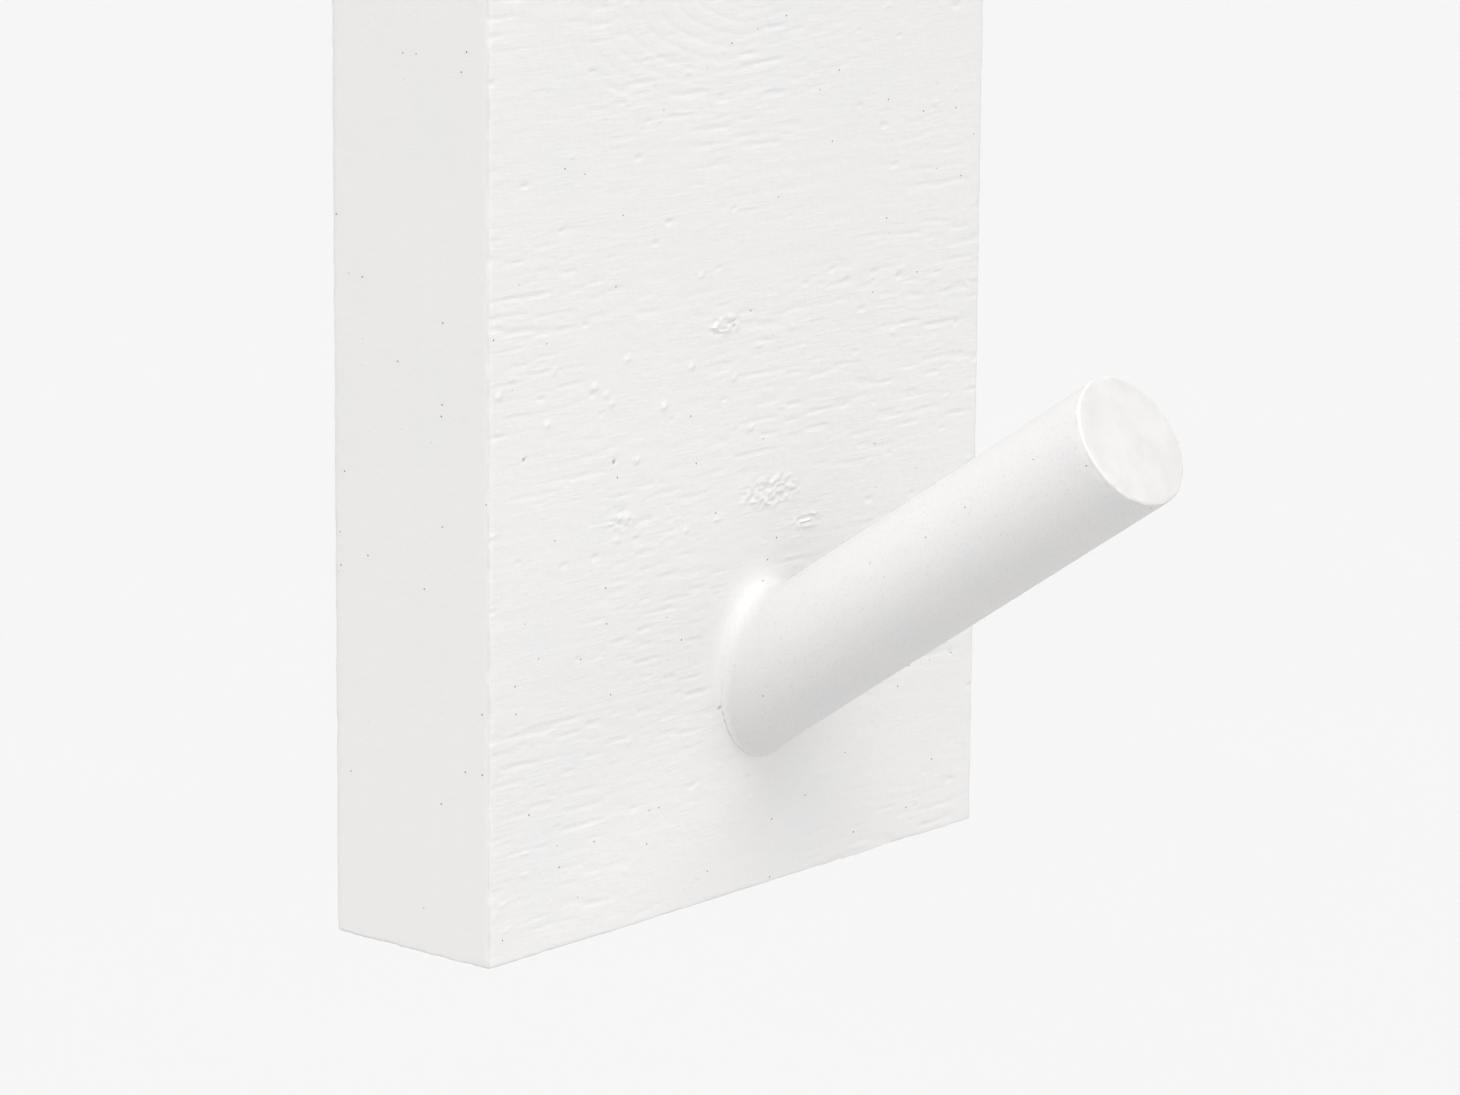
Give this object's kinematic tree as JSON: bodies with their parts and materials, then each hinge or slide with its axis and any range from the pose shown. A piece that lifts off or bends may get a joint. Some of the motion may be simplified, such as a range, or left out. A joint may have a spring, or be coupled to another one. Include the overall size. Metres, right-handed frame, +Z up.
{
  "type": "wall coat rack",
  "caption": "Upright wall-hung coat rack: a thick rough-sawn painted board with a column of round pegs that slope upward, and keyhole hanger plates let into its back.",
  "frame": {"origin": "middle of the board's back face, where it lies on the wall", "axes": "+X to the right as seen from the front, +Y into the wall, +Z up along the board"},
  "size_m": [0.11, 0.1016, 0.92],
  "materials": {
    "painted_board": "matte warm-white paint over rough-sawn wood",
    "painted_peg": "matte warm-white paint over a smooth turned dowel",
    "plate_zinc": "zinc-plated stamped steel",
    "screw_steel": "zinc-plated steel"
  },
  "bodies": {
    "root": {"board": "painted_board", "peg_1": "painted_peg", "peg_2": "painted_peg", "peg_3": "painted_peg", "peg_4": "painted_peg", "peg_5": "painted_peg", "peg_screw_1": "screw_steel", "peg_screw_2": "screw_steel", "peg_screw_3": "screw_steel", "peg_screw_4": "screw_steel", "peg_screw_5": "screw_steel", "hanger_plate_top": "plate_zinc", "hanger_plate_bottom": "plate_zinc", "hanger_screw_top_upper": "screw_steel", "hanger_screw_top_lower": "screw_steel", "hanger_screw_bottom_upper": "screw_steel", "hanger_screw_bottom_lower": "screw_steel"}
  },
  "joints": []
}
